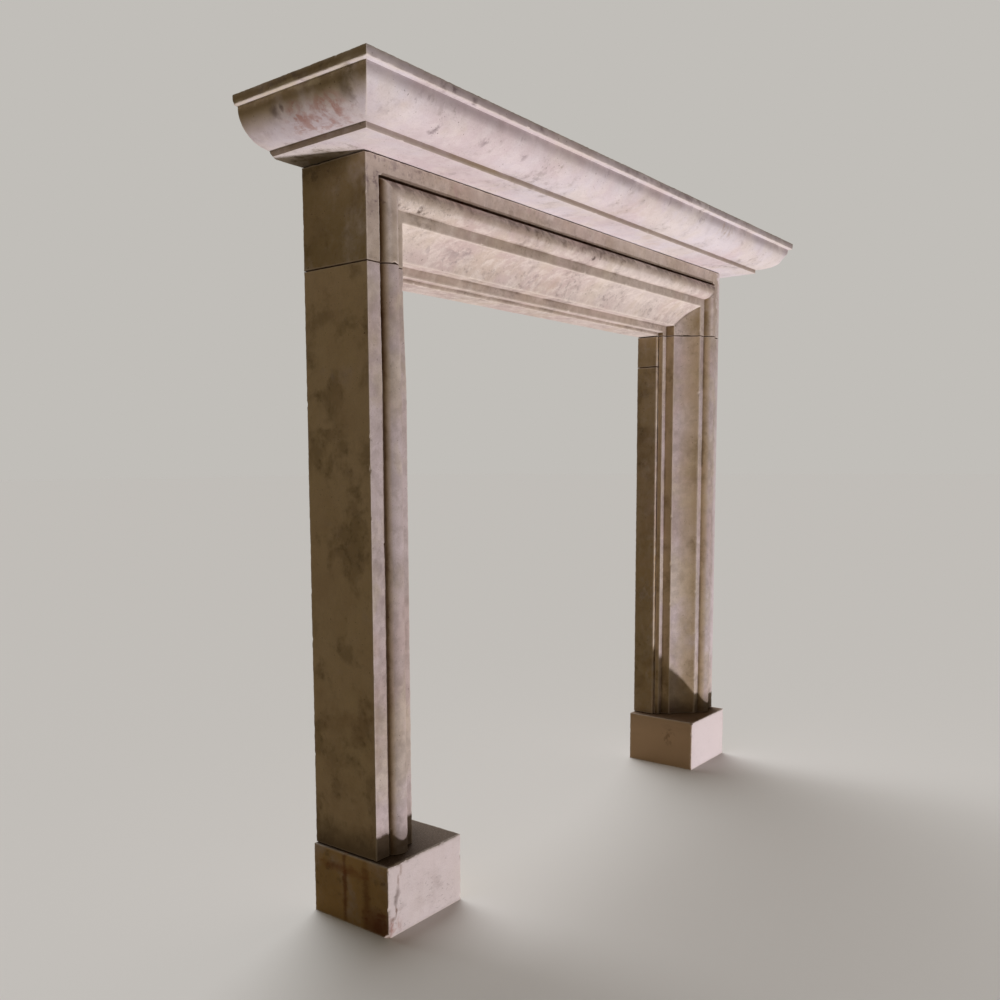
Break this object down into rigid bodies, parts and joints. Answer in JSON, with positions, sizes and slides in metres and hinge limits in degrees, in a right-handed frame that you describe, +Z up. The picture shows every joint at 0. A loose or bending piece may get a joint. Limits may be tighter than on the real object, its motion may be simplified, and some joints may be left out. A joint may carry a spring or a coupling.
{
  "type": "fireplace mantel",
  "caption": "Limestone fire surround: moulded jambs on plain plinths, a mitred lintel and a deep ovolo shelf, built against a wall.",
  "frame": {"origin": "on the floor, under the middle of the bounding box", "axes": "+X to the right along the shelf as a viewer in the room sees it, +Y into the wall, +Z up"},
  "size_m": [1.557, 0.2796, 1.32],
  "materials": {
    "shelf_stone": "tooled and rubbed limestone, weathered, matte",
    "lintel_stone": "tooled and rubbed limestone, weathered, matte",
    "jamb_stone": "tooled and rubbed limestone, weathered, matte",
    "plinth_stone": "tooled and rubbed limestone, weathered, matte",
    "slip_stone": "tooled and rubbed limestone, weathered, matte"
  },
  "bodies": {
    "root": {"shelf": "shelf_stone", "lintel": "lintel_stone", "left_jamb": "jamb_stone", "right_jamb": "jamb_stone", "left_plinth": "plinth_stone", "right_plinth": "plinth_stone", "left_slip_lower": "slip_stone", "left_slip_upper": "slip_stone", "right_slip_lower": "slip_stone", "right_slip_upper": "slip_stone"}
  },
  "joints": []
}
